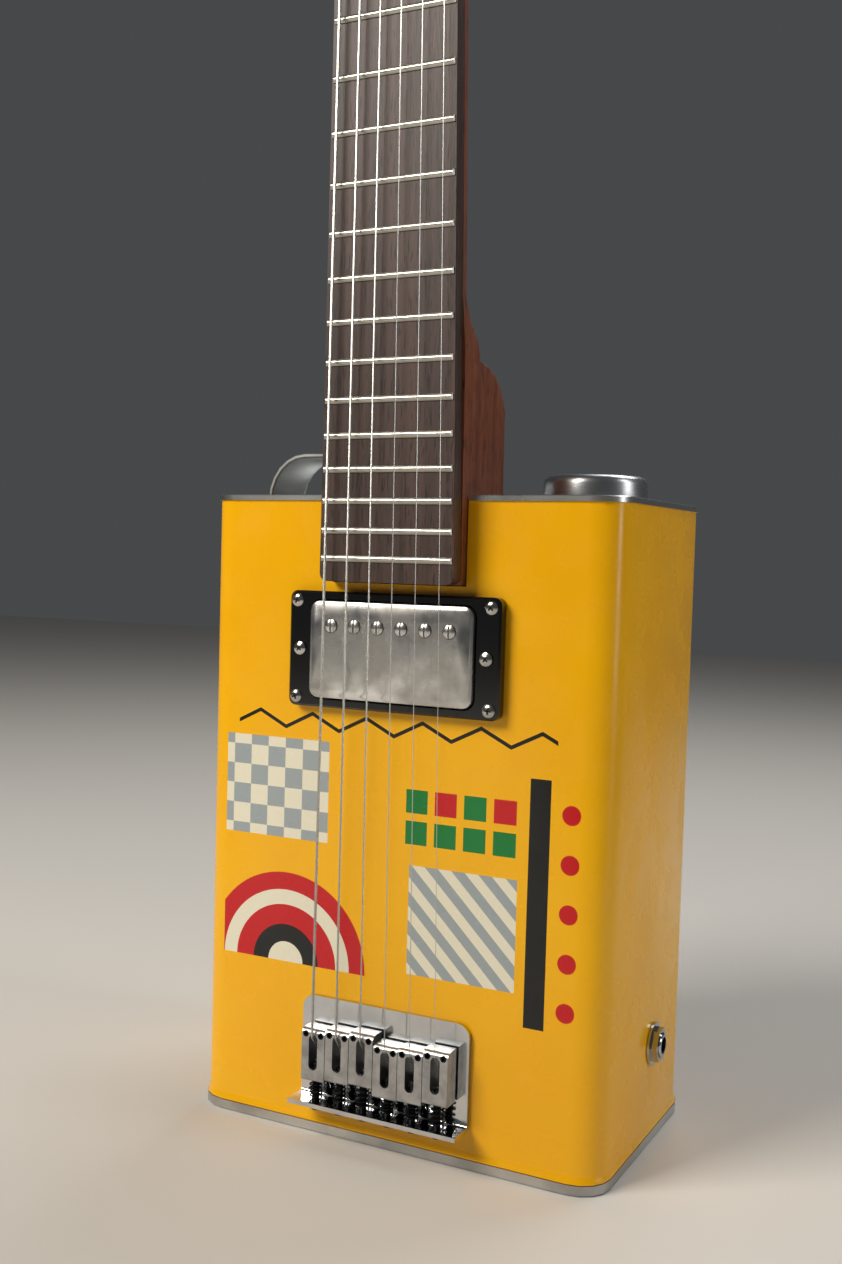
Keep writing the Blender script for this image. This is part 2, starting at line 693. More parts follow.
def make_block(material):
    """The block that carries everything: the tin only covers it."""
    bm = bmesh.new()
    floor = FOOT_PANEL_RECESS + TIN + GAP
    box(bm, (-BLOCK_WIDTH / 2, BLOCK_FRONT_Y, floor), (BLOCK_WIDTH / 2, BLOCK_BACK_Y, BLOCK_TOP_Z))
    block = add("centre_block", bm, material)

    bm = bmesh.new()
    root = BLOCK_TOP_Z - TONGUE_ROOT
    outline = [
        (BLOCK_BACK_Y + GAP, TONGUE_TOP_Z),
        (TONGUE_BACK_Y, TONGUE_TOP_Z),
        (TONGUE_BACK_Y, root + TONGUE_THICKNESS),
        (BLOCK_BACK_Y - TONGUE_THICKNESS, root - TONGUE_THICKNESS),
        (BLOCK_BACK_Y - TONGUE_THICKNESS, BLOCK_TOP_Z - TONGUE_THICKNESS),
        (BLOCK_BACK_Y + GAP, BLOCK_TOP_Z - GAP),
    ]
    prism(bm, outline, "X", -TONGUE_WIDTH / 2, TONGUE_WIDTH / 2)
    fuse(block, "tongue", bm)

    bm = bmesh.new()
    prism(bm, pickup_cavity_outline(), "Y", front(TIN), front(-CAVITY_DEEP))
    for x, z in ring_screw_places():
        rod(bm, WOOD_SCREW_RADIUS + GAP, "Y", (x, z), front(TIN), front(-RING_SCREW_DEEP - 3 * GAP), 8)
    for x, z in plate_screw_places():
        rod(bm, WOOD_SCREW_RADIUS + GAP, "Y", (x, z), front(TIN), front(-RING_SCREW_DEEP - 3 * GAP), 8)
    for x, z in bolt_places():
        rod(bm, BOLT_RADIUS + GAP, "Y", (x, z), BLOCK_BACK_Y - GAP, TONGUE_BACK_Y + CAN_CORNER, 8)
    for x in STRING_X:
        ball_end = BLOCK_BACK_Y - BALL_LENGTH - 4 * GAP
        profile = [
            (STRING_HOLE_RADIUS, front(TIN)),
            (STRING_HOLE_RADIUS, ball_end),
            (BALL_RADIUS + GAP, ball_end),
            (BALL_RADIUS + GAP, BLOCK_BACK_Y + CAN_CORNER),
        ]
        turned(bm, profile, "Y", (x, STRING_HOLE_Z), 8)
    cut(block, "openings", bm)
    bm = bmesh.new()
    lead_at = (front(LEAD_HOLE_IN_FRONT), PICKUP_Z - LEAD_HOLE_BELOW)
    rod(bm, LEAD_HOLE_RADIUS, "X", lead_at, COVER_WIDTH / 2, BLOCK_WIDTH / 2 + CAN_CORNER, 8)
    cut(block, "lead_hole", bm)


def make_neck_plate(material):
    """The steel plate behind the block, with its four bolts through the block into the heel."""
    y = TONGUE_BACK_Y + GAP
    size = (NECK_PLATE_WIDTH, NECK_PLATE_HEIGHT, 0.0030)
    bm = bmesh.new()
    framed(bm, size, [(0, y), (0, y + NECK_PLATE_THICKNESS - GAP), (-GAP, y + NECK_PLATE_THICKNESS)], "Y", (0, BOLT_Z), 3)
    plate = add("neck_plate", bm, material)
    bm = bmesh.new()
    head = BOLT_RADIUS * 1.8
    back = y + NECK_PLATE_THICKNESS
    for x, z in bolt_places():
        profile = [
            (BOLT_RADIUS, BLOCK_BACK_Y - BOLT_REACH),
            (BOLT_RADIUS, back - NECK_PLATE_THICKNESS / 2),
            (head, back - NECK_PLATE_THICKNESS / 2),
            (head, back + BOLT_RADIUS / 2),
            (head * 0.7, back + BOLT_RADIUS),
        ]
        turned(bm, profile, "Y", (x, z), 10)
    fuse(plate, "bolts", bm)


# The neck. Its own frame has Z along the strings and Y into the instrument.


def board_width(z):
    return BOARD_WIDTH - BOARD_TAPER * z


def fret_z(number):
    return SCALE_LENGTH * (2 ** (-number / 12) - 2 ** (-LAST_FRET / 12))


def neck_section(z):
    """Half width, depth and squareness of the wood at this height."""
    heel_back = HEEL_BACK - WOOD_FRONT
    share = min(max(z / NUT_Z, 0), 1)
    depth = NECK_DEPTH_HEEL + (NECK_DEPTH_NUT - NECK_DEPTH_HEEL) * share
    half = board_width(z) / 2
    if z <= HEEL_TOP:
        return HEEL_WIDTH / 2, heel_back, 16
    if z < HEEL_TOP + HEEL_SHOULDER:
        fall = math.sqrt(1 - ((z - HEEL_TOP) / HEEL_SHOULDER) ** 2)
        return HEEL_WIDTH / 2, depth + (heel_back - depth) * fall, 12
    blend = min((z - HEEL_TOP - HEEL_SHOULDER) / HEEL_BLEND, 1)
    ease = blend * blend * (3 - 2 * blend)
    return HEEL_WIDTH / 2 * (1 - ease) + half * ease, depth, 12 * (1 - ease) ** 2 + 2.3


def section_ring(half, depth, square, steps=14):
    """A flat front at y = 0 and a back that is a superellipse, as (x, y) pairs."""
    points = []
    for step in range(steps + 1):
        turn = math.pi * step / steps
        x = half * math.copysign(abs(math.cos(turn)) ** (2 / square), math.cos(turn))
        points.append((x, depth * abs(math.sin(turn)) ** (2 / square)))
    points[0], points[-1] = (half, 0), (-half, 0)
    return points


def head_half_width(h):
    """Half the headstock's width, h above the nut."""
    flare = min(h / HEAD_FLARE, 1)
    ease = flare * flare * (3 - 2 * flare)
    root = board_width(NUT_Z) / 2
    wide = HEAD_WIDTH / 2 + (HEAD_TOP_WIDTH - HEAD_WIDTH) / 2 * h / HEAD_LENGTH
    return root * (1 - ease) + wide * ease


def head_outline():
    side = [(head_half_width(HEAD_FLARE * step / 8), HEAD_FLARE * step / 8) for step in range(9)]
    side[0] = (side[0][0], GAP)
    shoulder = HEAD_LENGTH - HEAD_ARCH - HEAD_CORNER
    middle = head_half_width(shoulder) - HEAD_CORNER
    for step in range(5):
        turn = math.radians(22.5 * step)
        side.append((middle + HEAD_CORNER * math.cos(turn), shoulder + HEAD_CORNER * math.sin(turn)))
    side.append((middle / 2, HEAD_LENGTH - HEAD_ARCH / 4))
    return side + [(0, HEAD_LENGTH)] + [(-x, h) for x, h in reversed(side)]


def post_places():
    """(side, x, h) of each string's post, bass to treble. The outer strings use the posts near the nut."""
    places = []
    for i in range(6):
        side = -1 if i < 3 else 1
        row = i if i < 3 else 5 - i
        h = POST_FROM_NUT + POST_PITCH * row
        lean = (HEAD_TOP_WIDTH - HEAD_WIDTH) / 2 * (h - POST_FROM_NUT) / HEAD_LENGTH
        places.append((side, side * (POST_OUT + lean), h))
    return places


def make_neck(frame, material):
    """One piece of wood from the heel inside the can to the end of the headstock."""
    heights = [HEEL_END, 0.010, 0.035, HEEL_TOP]
    heights += [HEEL_TOP + HEEL_SHOULDER * share for share in (0.3, 0.55, 0.75, 0.9, 0.98, 1.0)]
    above = HEEL_TOP + HEEL_SHOULDER
    heights += [above + HEEL_BLEND * share for share in (0.15, 0.35, 0.6, 1.0)]
    top = NUT_Z + NUT_THICKNESS
    start = heights[-1]
    heights += [start + (top - start) * share for share in (0.25, 0.5, 0.75, 1.0)]
    rings = []
    for z in heights:
        rings.append([Vector((x, WOOD_FRONT + y, z)) for x, y in section_ring(*neck_section(z))])
    into_head = NECK_FRAME.inverted() @ HEAD_FRAME
    root = board_width(NUT_Z) / 2 - 2 * GAP
    for h, inset in ((0.0040, GAP), (0.0120, 3 * GAP)):
        ring = section_ring(root, HEAD_THICKNESS - 2 * inset, 2.6)
        rings.append([into_head @ Vector((x, inset + y, h)) for x, y in ring])
    bm = bmesh.new()
    skin(bm, rings)
    neck = add("neck", bm, material, frame)

    bm = bmesh.new()
    edge = 0.0010
    outline = head_outline()
    prism(bm, outline, "Y", 0, HEAD_THICKNESS)
    rims = [e for e in bm.edges if abs(e.verts[0].co.y - e.verts[1].co.y) < edge]
    bmesh.ops.bevel(bm, geom=rims, offset=edge, segments=1, affect="EDGES")
    bm.transform(into_head)
    fuse(neck, "headstock", bm)

    bm = bmesh.new()
    for _, x, h in post_places():
        rod(bm, POST_RADIUS + GAP, "Y", (x, h), -HEAD_THICKNESS, 2 * HEAD_THICKNESS, 10)
    bm.transform(into_head)
    cut(neck, "post_holes", bm)

    bm = bmesh.new()
    half = ROD_WIDTH / 2 + GAP
    low = (-half, WOOD_FRONT - 1.5 * GAP, HEEL_END + 0.014)
    box(bm, low, (half, WOOD_FRONT + ROD_DEPTH + 2 * GAP, NUT_Z + NUT_THICKNESS + ROD_NUT_LENGTH + 0.004))
    cut(neck, "rod_channel", bm)

    bm = bmesh.new()
    back_to_world = NECK_FRAME.inverted()
    for x, z in bolt_places():
        rod(bm, BOLT_RADIUS + GAP, "Y", (x, z), BLOCK_BACK_Y - BOLT_REACH - 2 * GAP, BLOCK_BACK_Y + CAN_CORNER, 8)
    bm.transform(back_to_world)
    cut(neck, "bolt_holes", bm)


def make_fretboard(frame, material):
    """The flat board with its frets, which are fused to it here."""
    low, high = -BOARD_OVERHANG, NUT_Z - GAP
    half_low, half_high = board_width(low) / 2, board_width(high) / 2
    outline = [(half_high, high), (-half_high, high)]
    for side in (-1, 1):
        turns = [math.radians(30 * step) for step in range(4)]
        corner = [
            (side * (half_low - BOARD_CORNER * (1 - math.cos(turn))), low + BOARD_CORNER * (1 - math.sin(turn)))
            for turn in turns
        ]
        outline += corner if side < 0 else corner[::-1]
    bm = bmesh.new()
    prism(bm, outline, "Y", 0, BOARD_THICKNESS)
    board = add("fretboard", bm, material, frame)

    bm = bmesh.new()
    for number in range(1, LAST_FRET + 1):
        z = fret_z(number)
        half = board_width(z) / 2 - FRET_INSET
        side = FRET_WIDTH / 2
        crown = [(-side, FRET_SINK), (-side, -FRET_CROWN * 0.35), (-side * 0.55, -FRET_CROWN * 0.85), (0, -FRET_CROWN)]
        crown += [(-along, y) for along, y in reversed(crown[:-1])]
        rings = []
        for end in (-1, 1):
            ring = []
            for along, y in crown:
                reach = half - FRET_END_BEVEL * max(-y, 0) / FRET_CROWN
                ring.append(Vector((end * reach, y, z + along)))
            rings.append(ring)
        skin(bm, rings)
    fuse(board, "frets", bm)


def make_nut(frame, material):
    """The bone nut, with a slot for each string."""
    low, high = NUT_Z, NUT_Z + NUT_THICKNESS
    half = board_width(NUT_Z) / 2
    outline = [(low, BOARD_THICKNESS), (low, -NUT_HEIGHT), (low + 0.0028, -NUT_HEIGHT), (high, -NUT_HEIGHT + 0.0012), (high, BOARD_THICKNESS)]
    bm = bmesh.new()
    skin(bm, [[Vector((x, y, z)) for z, y in outline] for x in (-half, half)])
    nut = add("nut", bm, material, frame)
    bm = bmesh.new()
    for x, radius in zip(NUT_X, STRING_RADII):
        half_slot = radius + GAP
        box(bm, (x - half_slot, -2 * NUT_HEIGHT, low - 0.002), (x + half_slot, -NUT_CLEARANCE, high + 0.002))
    cut(nut, "slots", bm)


def make_truss_rod(frame, material):
    """The rod under the board, with its adjusting nut in the scoop above the nut."""
    half = ROD_WIDTH / 2
    low, high = HEEL_END + 0.015, NUT_Z + NUT_THICKNESS - 0.002
    bm = bmesh.new()
    box(bm, (-half, WOOD_FRONT + 4 * GAP, low), (half, WOOD_FRONT + ROD_DEPTH, high))
    rod_obj = add("truss_rod", bm, material, frame)
    bm = bmesh.new()
    middle = WOOD_FRONT + 4 * GAP + ROD_DEPTH / 2
    rod(bm, half - GAP, "Z", (0, middle), high - 0.002, high + ROD_NUT_LENGTH, 6)
    fuse(rod_obj, "adjuster", bm)


# Tuners, in the headstock's own frame: Z up the headstock and Y into it


def make_tuner_plate(frame, material, side, name):
    """A strip with three closed gear boxes on the back of the headstock."""
    places = [(x, h) for s, x, h in post_places() if s == side]
    middle_h = POST_FROM_NUT + POST_PITCH - WORM_OFFSET / 2
    length = 2 * POST_PITCH + 2 * STRIP_END
    middle_x = sum(x for x, _ in places) / 3
    y = HEAD_THICKNESS + GAP
    housing_half = GEAR_RADIUS + GAP + HOUSING_WALL
    bm = bmesh.new()
    size = (STRIP_WIDTH, length, 0.0030)
    framed(bm, size, [(0, y), (0, y + STRIP_THICKNESS)], "Y", (middle_x, middle_h), 3)
    plate = add(name, bm, material, frame)

    bm = bmesh.new()
    for x, h in places:
        low_h = h - WORM_OFFSET - WORM_RADIUS - GAP - HOUSING_WALL
        high_h = h + housing_half
        size = (2 * housing_half + 0.0010, high_h - low_h, 0.0022)
        top = y + HOUSING_HEIGHT
        profile = [(0, y + STRIP_THICKNESS / 2), (0, top - 0.0012), (-0.0012, top)]
        framed(bm, size, profile, "Y", (x, (low_h + high_h) / 2), 3)
    fuse(plate, "gear_boxes", bm)

    bm = bmesh.new()
    for x, h in places:
        profile = [
            (POST_RADIUS + GAP, y - STRIP_THICKNESS),
            (POST_RADIUS + GAP, GEAR_BACK - GAP),
            (GEAR_RADIUS + GAP, GEAR_BACK - GAP),
            (GEAR_RADIUS + GAP, GEAR_BACK + GEAR_THICKNESS + GAP),
        ]
        turned(bm, profile, "Y", (x, h), 10)
    cut(plate, "gear_rooms", bm)
    bm = bmesh.new()
    for x, h in places:
        outer = x + side * (housing_half + STRIP_WIDTH)
        end = x + side * (WORM_LENGTH / 2 + GAP)
        profile = [(WORM_RADIUS + GAP, x - side * (WORM_LENGTH / 2 + GAP)), (WORM_RADIUS + GAP, end)]
        profile += [(SHAFT_RADIUS + GAP, end), (SHAFT_RADIUS + GAP, outer)]
        turned(bm, profile, "X", (WORM_BACK, h - WORM_OFFSET), 8)
    cut(plate, "worm_rooms", bm)


def make_tuner_post(frame, material, number, x, h):
    """The string post, in front of the headstock, with its gear wheel behind."""
    waist_top = -(WRAP_START + 0.0075)
    profile = [
        (POST_RADIUS - 0.0006, -POST_HEIGHT),
        (POST_RADIUS, -POST_HEIGHT + 0.0006),
        (POST_RADIUS, waist_top - 0.0005),
        (POST_WAIST, waist_top),
        (POST_WAIST, -0.0020),
        (POST_RADIUS, -0.0015),
        (POST_RADIUS, GEAR_BACK),
        (GEAR_RADIUS, GEAR_BACK),
        (GEAR_RADIUS, GEAR_BACK + GEAR_THICKNESS),
    ]
    bm = bmesh.new()
    turned(bm, profile, "Y", (0, 0), 12)
    add(f"tuner_post_{number}", bm, material, frame, (x, 0, h))


def make_tuner_button(frame, material, number, side, x, h):
    """The worm, its shaft and the button that turns them."""
    edge = head_half_width(h) + BUTTON_STANDOFF
    reach = edge - abs(x)
    half_worm = WORM_LENGTH / 2
    profile = [(WORM_RADIUS, -half_worm), (WORM_RADIUS, half_worm), (SHAFT_RADIUS, half_worm), (SHAFT_RADIUS, reach + 0.001)]
    bm = bmesh.new()
    turned(bm, [(radius, side * place) for radius, place in profile], "X", (0, 0), 10)
    button = add(f"tuner_button_{number}", bm, material, frame, (x, WORM_BACK, h - WORM_OFFSET))
    bm = bmesh.new()
    rings = []
    for share, size in ((0, 0.40), (0.14, 0.52), (0.36, 0.90), (0.62, 1.0), (0.86, 0.86), (1.0, 0.52)):
        place = side * (reach + BUTTON_LENGTH * share)
        ring = [(u * BUTTON_THICKNESS / 2 * (0.5 + size / 2), v * BUTTON_WIDTH / 2 * size) for u, v in circle(1, 12)]
        rings.append([Vector((place, u, v)) for u, v in ring])
    skin(bm, rings)
    fuse(button, "knob", bm)


# Strings


def string_points(i):
    """One string's route, from its ball behind the block to its last turn on the post, and its radii."""
    radius = STRING_RADII[i]
    x = STRING_X[i]
    edge_z, edge_front = SADDLE_EDGE_Z[i], SADDLE_TOP
    ball_back = BLOCK_BACK_Y - GAP
    ball_front = ball_back - BALL_LENGTH
    points = [Vector((x, ball_back, STRING_HOLE_Z)), Vector((x, ball_front, STRING_HOLE_Z))]
    widths = [BALL_RADIUS / radius, BALL_RADIUS / radius]
    points.append(Vector((x, ball_front - 2 * GAP, STRING_HOLE_Z)))
    leave = PLATE_FRONT + radius
    points.append(Vector((x, front(leave), STRING_HOLE_Z)))

    # up through the slot and over the saddle's edge, round a circle a little larger than the string
    bend = radius + GAP
    rise, run = edge_front - leave, edge_z - STRING_HOLE_Z
    slope = math.atan2(rise, run) + math.asin(bend / math.hypot(rise, run))
    for share in (1.0, 0.5, 0.0):
        turn = slope * share
        points.append(Vector((x, front(edge_front + bend * math.cos(turn)), edge_z - bend * math.sin(turn))))

    # straight to the nut and through its slot
    nut_y = -NUT_CLEARANCE - GAP - radius
    for z in (NUT_Z, NUT_Z + NUT_THICKNESS):
        points.append(NECK_FRAME @ Vector((NUT_X[i], nut_y, z)))

    # round the post, climbing away from the headstock
    side, post_x, post_h = post_places()[i]
    wrap = POST_WAIST + GAP * 1.6 + radius
    start = HEAD_FRAME.inverted() @ points[-1]
    to_post = Vector((post_x - start.x, post_h - start.z))
    heading = math.atan2(to_post.y, to_post.x) + side * math.asin(wrap / to_post.length)
    first = heading + side * math.radians(90)
    climb = (2 * radius + WRAP_SPACE) / WRAP_STEPS
    coil = []
    for step in range(int(WRAP_TURNS * WRAP_STEPS) + 1):
        turn = first - side * 2 * math.pi * step / WRAP_STEPS
        depth = -WRAP_START - radius - climb * step
        place = Vector((post_x + wrap * math.cos(turn), depth, post_h + wrap * math.sin(turn)))
        coil.append(HEAD_FRAME @ place)
    points += coil
    widths += [1] * (len(points) - len(widths))
    return points, widths, self_gap(coil, radius, WRAP_STEPS)


def make_strings(material):
    for i, radius in enumerate(STRING_RADII):
        points, widths, gap = string_points(i)
        wire(f"string_{i + 1}", points, radius, material, 1, widths)
        print(f"string_{i + 1}: least gap between turns {gap * 1000:.2f} mm")


# Pickup


def make_pickup_ring(material):
    """The mounting ring, with its four corner screws fused to it."""
    size = (RING_WIDTH, RING_HEIGHT, RING_CORNER)
    inner = (COVER_WIDTH + 2 * RUNNING_GAP, COVER_HEIGHT + 2 * RUNNING_GAP, COVER_CORNER + RUNNING_GAP)
    bm = bmesh.new()
    profile = [(0, front(GAP)), (0, front(RING_IN_FRONT - RING_EDGE)), (-RING_EDGE, front(RING_IN_FRONT))]
    framed(bm, size, profile, "Y", (0, PICKUP_Z), 4)
    ring = add("pickup_ring", bm, material)
    bm = bmesh.new()
    framed(bm, inner, [(0, front(-0.002)), (0, front(0.02))], "Y", (0, PICKUP_Z), 4)
    for side in (-1, 1):
        rod(bm, SCREW_RADIUS + GAP, "Y", (side * HEIGHT_SCREW_X, PICKUP_Z), front(-0.002), front(0.02), 10)
    cut(ring, "openings", bm)
    bm = bmesh.new()
    for x, z in ring_screw_places():
        profile = [
            (WOOD_SCREW_RADIUS * 0.4, front(-RING_SCREW_DEEP)),
            (WOOD_SCREW_RADIUS, front(-RING_SCREW_DEEP + 0.002)),
            (WOOD_SCREW_RADIUS, front(RING_IN_FRONT / 2)),
            (SCREW_HEAD * 0.88, front(RING_IN_FRONT / 2)),
            (SCREW_HEAD * 0.88, front(RING_IN_FRONT + 0.0002)),
            (SCREW_HEAD * 0.5, front(RING_IN_FRONT + 0.0008)),
        ]
        turned(bm, profile, "Y", (x, z), 10)
    fuse(ring, "screws", bm)


def make_pickup_cover(frame, material):
    """The drawn cover: a shallow cup, open behind, with a row of pole holes."""
    half = -COVER_WALL
    top, floor = -COVER_IN_FRONT, -CUP_FLOOR
    profile = [
        (-COVER_ROUND, top),
        (-COVER_ROUND * 0.3, top + COVER_ROUND * 0.3),
        (0, top + COVER_ROUND),
        (0, floor),
        (half, floor),
        (half, top + COVER_ROUND),
        (-COVER_ROUND, top + COVER_WALL),
    ]
    bm = bmesh.new()
    framed(bm, (COVER_WIDTH, COVER_HEIGHT, COVER_CORNER), profile, "Y", (0, 0), 4)
    cover = add("pickup_cover", bm, material, frame)
    bm = bmesh.new()
    for x in POLE_X:
        rod(bm, POLE_HEAD_RADIUS + GAP, "Y", (x, POLE_OFF_CENTRE), top - 0.002, top + 0.002, 10)
    cut(cover, "pole_holes", bm)


def make_pickup_body(frame, material):
    """Base plate, coils and the row of slotted pole screws, with a threaded leg at each end."""
    inset = COVER_WALL + GAP
    coil_front = -(COVER_IN_FRONT - COVER_WALL - 2 * GAP)
    base = -CUP_FLOOR - 0.0006
    bm = bmesh.new()
    framed(bm, (COVER_WIDTH - 2 * inset, COVER_HEIGHT - 2 * inset, COVER_CORNER), [(0, coil_front), (0, base)], "Y", (0, 0), 3)
    body = add("pickup_body", bm, material, frame)

    bm = bmesh.new()
    for x in POLE_X:
        profile = [
            (SCREW_RADIUS, coil_front + 0.002),
            (SCREW_RADIUS, coil_front - 0.0001),
            (POLE_HEAD_RADIUS, coil_front - 0.0001),
            (POLE_HEAD_RADIUS, -POLE_IN_FRONT + 0.0005),
            (POLE_HEAD_RADIUS * 0.62, -POLE_IN_FRONT),
        ]
        turned(bm, profile, "Y", (x, POLE_OFF_CENTRE), 10)
    half_leg = LEG_WIDTH / 2
    leg_back = base + LEG_DEEP
    for side in (-1, 1):
        root = side * (COVER_WIDTH / 2 - inset - 2 * LEG_THICKNESS)
        outline = [
            (root, base - 0.0010),
            (root + side * LEG_THICKNESS, base - 0.0010),
            (root + side * LEG_THICKNESS, leg_back - LEG_THICKNESS),
            (side * LEG_HALF, leg_back - LEG_THICKNESS),
            (side * LEG_HALF, leg_back),
            (root, leg_back),
        ]
        prism(bm, outline, "Z", -half_leg, half_leg)
    fuse(body, "poles_and_legs", bm)

    bm = bmesh.new()
    for x in POLE_X:
        half_slot = POLE_SLOT / 2
        low = (x - half_slot, -POLE_IN_FRONT - 0.001, POLE_OFF_CENTRE - 2 * POLE_HEAD_RADIUS)
        high = (x + half_slot, -POLE_IN_FRONT + 0.0006, POLE_OFF_CENTRE + 2 * POLE_HEAD_RADIUS)
        box(bm, low, high)
    for side in (-1, 1):
        rod(bm, SCREW_RADIUS + GAP, "Y", (side * HEIGHT_SCREW_X, 0), leg_back - 0.004, leg_back + 0.004, 10)
    cut(body, "slots_and_threads", bm)


def make_height_screw(material, number, side):
    """A screw through the ring's end into the pickup's leg."""
    seat = -RING_IN_FRONT - GAP
    profile = [
        (SCREW_HEAD * 0.55, seat - SCREW_HEAD_HEIGHT),
        (SCREW_HEAD, seat - SCREW_HEAD_HEIGHT * 0.4),
        (SCREW_HEAD, seat),
        (SCREW_RADIUS, seat),
        (SCREW_RADIUS, seat + HEIGHT_SCREW_LENGTH),
    ]
    bm = bmesh.new()
    turned(bm, profile, "Y", (0, 0), 12)
    add(f"height_screw_{number}", bm, material, at=(side * HEIGHT_SCREW_X, FACE_Y, PICKUP_Z))


# Bridge


def make_bridge_plate(material):
    """The chromed plate with its bent-up lip. Its three flat mounting screws are fused to it."""
    middle_z = (PLATE_TOP_Z + LIP_Z) / 2
    half = PLATE_WIDTH / 2
    low = LIP_Z + PLATE_THICKNESS
    outline = [(-half, low), (half, low)]
    for side in (1, -1):
        turns = [math.radians(22.5 * step) for step in range(5)]
        corner = [
            (side * (half - PLATE_CORNER * (1 - math.cos(turn))), PLATE_TOP_Z - PLATE_CORNER * (1 - math.sin(turn)))
            for turn in turns
        ]
        outline += corner if side > 0 else corner[::-1]
    bm = bmesh.new()
    prism(bm, outline, "Y", front(GAP), front(PLATE_FRONT))
    plate = add("bridge_plate", bm, material)

    outer, inner = LIP_BEND + PLATE_THICKNESS, LIP_BEND
    turns = [math.radians(30 * step) for step in range(4)]
    bend_front, bend_z = GAP + outer, LIP_Z + outer
    profile = [(front(GAP), middle_z - PLATE_LENGTH / 4)]
    profile += [(front(bend_front - outer * math.cos(turn)), bend_z - outer * math.sin(turn)) for turn in turns]
    profile += [(front(LIP_IN_FRONT), LIP_Z), (front(LIP_IN_FRONT), LIP_Z + PLATE_THICKNESS)]
    profile += [(front(bend_front - inner * math.cos(turn)), bend_z - inner * math.sin(turn)) for turn in turns[::-1]]
    profile += [(front(PLATE_FRONT), middle_z - PLATE_LENGTH / 4)]
    bm = bmesh.new()
    prism(bm, profile, "X", -half, half)
    fuse(plate, "lip", bm)

    bm = bmesh.new()
    for x in STRING_X:
        rod(bm, STRING_HOLE_RADIUS, "Y", (x, STRING_HOLE_Z), front(-0.002), front(PLATE_FRONT + 0.002), 8)
        lip_at = (x, front(INTONATION_IN_FRONT))
        rod(bm, SCREW_RADIUS + GAP, "Z", lip_at, LIP_Z - 0.002, LIP_Z + PLATE_THICKNESS + 0.0004, 10)
    cut(plate, "holes", bm)

    bm = bmesh.new()
    for x, z in plate_screw_places():
        profile = [
            (WOOD_SCREW_RADIUS * 0.4, front(-RING_SCREW_DEEP)),
            (WOOD_SCREW_RADIUS, front(-RING_SCREW_DEEP + 0.002)),
            (WOOD_SCREW_RADIUS, front(PLATE_FRONT / 2)),
            (SCREW_HEAD, front(PLATE_FRONT / 2)),
            (SCREW_HEAD, front(PLATE_FRONT + 0.0001)),
            (SCREW_HEAD * 0.6, front(PLATE_FRONT + 0.0003)),
        ]
        turned(bm, profile, "Y", (x, z), 10)
    fuse(plate, "screws", bm)


def make_saddle(material, i):
    """A cast block saddle on two grub screws. Z = 0 is the edge that the string bends over."""
    half = SADDLE_WIDTH / 2
    nose = SLOT_FROM_NOSE
    rear = nose - SADDLE_LENGTH
    top, bottom = -SADDLE_TOP, -SADDLE_BOTTOM
    profile = [(bottom, nose)]
    for turn in (math.radians(22.5 * step) for step in range(5)):
        profile.append((top + SADDLE_NOSE * (1 - math.sin(turn)), nose - SADDLE_NOSE * (1 - math.cos(turn))))
    profile += [(top, rear + SADDLE_EDGE), (top + SADDLE_EDGE, rear), (bottom, rear)]
    bm = bmesh.new()
    prism(bm, profile, "X", -half, half)
    saddle = add(f"saddle_{i + 1}", bm, material, at=(STRING_X[i], FACE_Y, SADDLE_EDGE_Z[i]))

    bm = bmesh.new()
    for side in (-1, 1):
        x = side * GRUB_SPACING / 2
        rod(bm, GRUB_RADIUS, "Y", (x, 0), -PLATE_FRONT - GAP, bottom - 0.002, 8)
    fuse(saddle, "grub_screws", bm)

    slot_length = SADDLE_LENGTH - SLOT_FROM_NOSE - SLOT_FROM_REAR
    bm = bmesh.new()
    middle = (0, -slot_length / 2)
    prism(bm, rounded(SLOT_WIDTH, slot_length, SLOT_WIDTH / 2 - 1e-5, 4, middle), "Y", top - 0.002, bottom + 0.002)
    for side in (-1, 1):
        x = side * (GRUB_SPACING / 2 + GAP)
        rod(bm, GRUB_SOCKET, "Y", (x, 0), top - 0.002, top + 0.0025, 6)
    cut(saddle, "slot_and_sockets", bm)
    bm = bmesh.new()
    rod(bm, SCREW_RADIUS + GAP, "Z", (0, -INTONATION_IN_FRONT), rear - 0.002, rear + SLOT_FROM_REAR + SLOT_WIDTH / 2, 10)
    cut(saddle, "thread", bm)


def make_intonation_screw(material, i):
    """The screw through the lip that draws its saddle back and forth."""
    seat = LIP_Z - GAP
    tip = MEAN_EDGE_Z - INTONATION_TIP_BELOW - seat
    profile = [
        (SCREW_HEAD * 0.6, -INTONATION_HEAD_HEIGHT),
        (SCREW_HEAD, -INTONATION_HEAD_HEIGHT * 0.5),
        (SCREW_HEAD, 0),
        (SCREW_RADIUS, 0),
        (SCREW_RADIUS, tip - 0.0005),
        (SCREW_RADIUS * 0.7, tip),
    ]
    bm = bmesh.new()
    turned(bm, profile, "Z", (0, 0), 10)
    add(f"intonation_screw_{i + 1}", bm, material, at=(STRING_X[i], front(INTONATION_IN_FRONT), seat))


def make_intonation_spring(material, i):
    """The coil spring between the lip and the saddle."""
    low = LIP_Z + PLATE_THICKNESS + GAP + SPRING_WIRE
    high = SADDLE_EDGE_Z[i] + SLOT_FROM_NOSE - SADDLE_LENGTH - GAP - SPRING_WIRE
    steps = int(SPRING_TURNS * SPRING_STEPS)
    points = []
    for step in range(steps + 1):
        turn = 2 * math.pi * step / SPRING_STEPS
        points.append((SPRING_RADIUS * math.cos(turn), SPRING_RADIUS * math.sin(turn), (high - low) * step / steps))
    name = f"intonation_spring_{i + 1}"
    wire(name, points, SPRING_WIRE, material, 1, at=(STRING_X[i], front(INTONATION_IN_FRONT), low))
    print(f"{name}: least gap between turns {self_gap(points, SPRING_WIRE, SPRING_STEPS) * 1000:.2f} mm")


